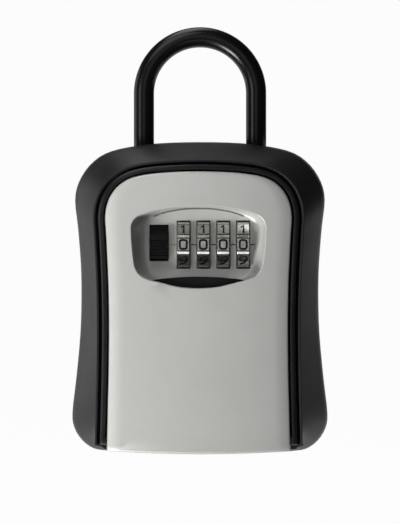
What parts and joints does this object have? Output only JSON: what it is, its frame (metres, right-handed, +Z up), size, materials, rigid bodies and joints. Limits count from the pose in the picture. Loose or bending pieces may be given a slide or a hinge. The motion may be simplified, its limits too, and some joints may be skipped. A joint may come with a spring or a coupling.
{
  "type": "portable key lock box",
  "caption": "Portable key lock box with a shackle, a swinging door, number dials behind a sliding shutter, and a release slide.",
  "frame": {"origin": "centre of the flat back face, at mid height of the body without its shackle", "axes": "+X to the viewer's right, -Y out of the door, +Z up along the shackle's legs"},
  "size_m": [0.1, 0.0405, 0.1665],
  "materials": {
    "bumper": "fine matt black moulding",
    "case_black": "semi-gloss black casting",
    "satin_silver": "satin silver paint",
    "shutter_black": "matt black",
    "button_black": "gloss black",
    "dial_plated": "plated, with worn edges",
    "sleeve_black": "gloss black sleeve",
    "zinc_steel": "zinc plated",
    "brass": "plain brass"
  },
  "bodies": {
    "case": {"housing": "case_black", "bumper": "bumper", "hinge_pin": "zinc_steel", "latch_cover": "zinc_steel", "latch_screw_1": "zinc_steel", "latch_screw_2": "zinc_steel"},
    "shackle_body": {"shackle": "zinc_steel", "shackle_sleeve": "sleeve_black"},
    "latch_body": {"shackle_latch": "brass"},
    "door": {"door_cover": "satin_silver", "lock_cover": "zinc_steel", "dial_axle": "zinc_steel", "cover_screw_1": "zinc_steel", "cover_screw_2": "zinc_steel", "cover_screw_3": "zinc_steel", "cover_screw_4": "zinc_steel", "index_spring": "zinc_steel", "slide_screw_1": "zinc_steel", "slide_screw_2": "zinc_steel", "slider_spring": "zinc_steel", "shutter_guide": "zinc_steel", "guide_screw_1": "zinc_steel", "guide_screw_2": "zinc_steel"},
    "dial_body_1": {"dial_1": "dial_plated", "code_cam_1": "brass"},
    "dial_body_2": {"dial_2": "dial_plated", "code_cam_2": "brass"},
    "dial_body_3": {"dial_3": "dial_plated", "code_cam_3": "brass"},
    "dial_body_4": {"dial_4": "dial_plated", "code_cam_4": "brass"},
    "shutter_body": {"shutter": "shutter_black"},
    "release_body": {"slider_button": "button_black", "latch_bolt": "zinc_steel", "slide_rivet": "brass"},
    "reset_body": {"reset_lever": "brass"}
  },
  "joints": [
    {"name": "door_swing", "type": "hinge", "parent": "case", "child": "door", "pos_m": [0, -0.0335, -0.0545], "axis": [1, 0, 0], "range_deg": [0, 100]},
    {"name": "shackle_lift", "type": "slide", "parent": "case", "child": "shackle_body", "axis": [0, 0, 1], "range_m": [0, 0.025]},
    {"name": "shackle_latch_slide", "type": "slide", "parent": "case", "child": "latch_body", "axis": [1, 0, 0], "range_m": [0, 0.002]},
    {"name": "dial_1_turn", "type": "hinge", "parent": "door", "child": "dial_body_1", "pos_m": [-0.00589, -0.0255, 0.0202], "axis": [1, 0, 0], "continuous": true},
    {"name": "dial_2_turn", "type": "hinge", "parent": "door", "child": "dial_body_2", "pos_m": [0.00177, -0.0255, 0.0202], "axis": [1, 0, 0], "continuous": true},
    {"name": "dial_3_turn", "type": "hinge", "parent": "door", "child": "dial_body_3", "pos_m": [0.00943, -0.0255, 0.0202], "axis": [1, 0, 0], "continuous": true},
    {"name": "dial_4_turn", "type": "hinge", "parent": "door", "child": "dial_body_4", "pos_m": [0.01709, -0.0255, 0.0202], "axis": [1, 0, 0], "continuous": true},
    {"name": "shutter_slide", "type": "slide", "parent": "door", "child": "shutter_body", "axis": [0, 0, 1], "range_m": [0, 0.0272]},
    {"name": "release_slide_move", "type": "slide", "parent": "door", "child": "release_body", "axis": [0, 0, 1], "range_m": [0, 0.002], "stiffness_N_per_m": 300, "deforming": ["slider_spring"]},
    {"name": "reset_lever_slide", "type": "slide", "parent": "door", "child": "reset_body", "axis": [1, 0, 0], "range_m": [0, 0.004]}
  ]
}
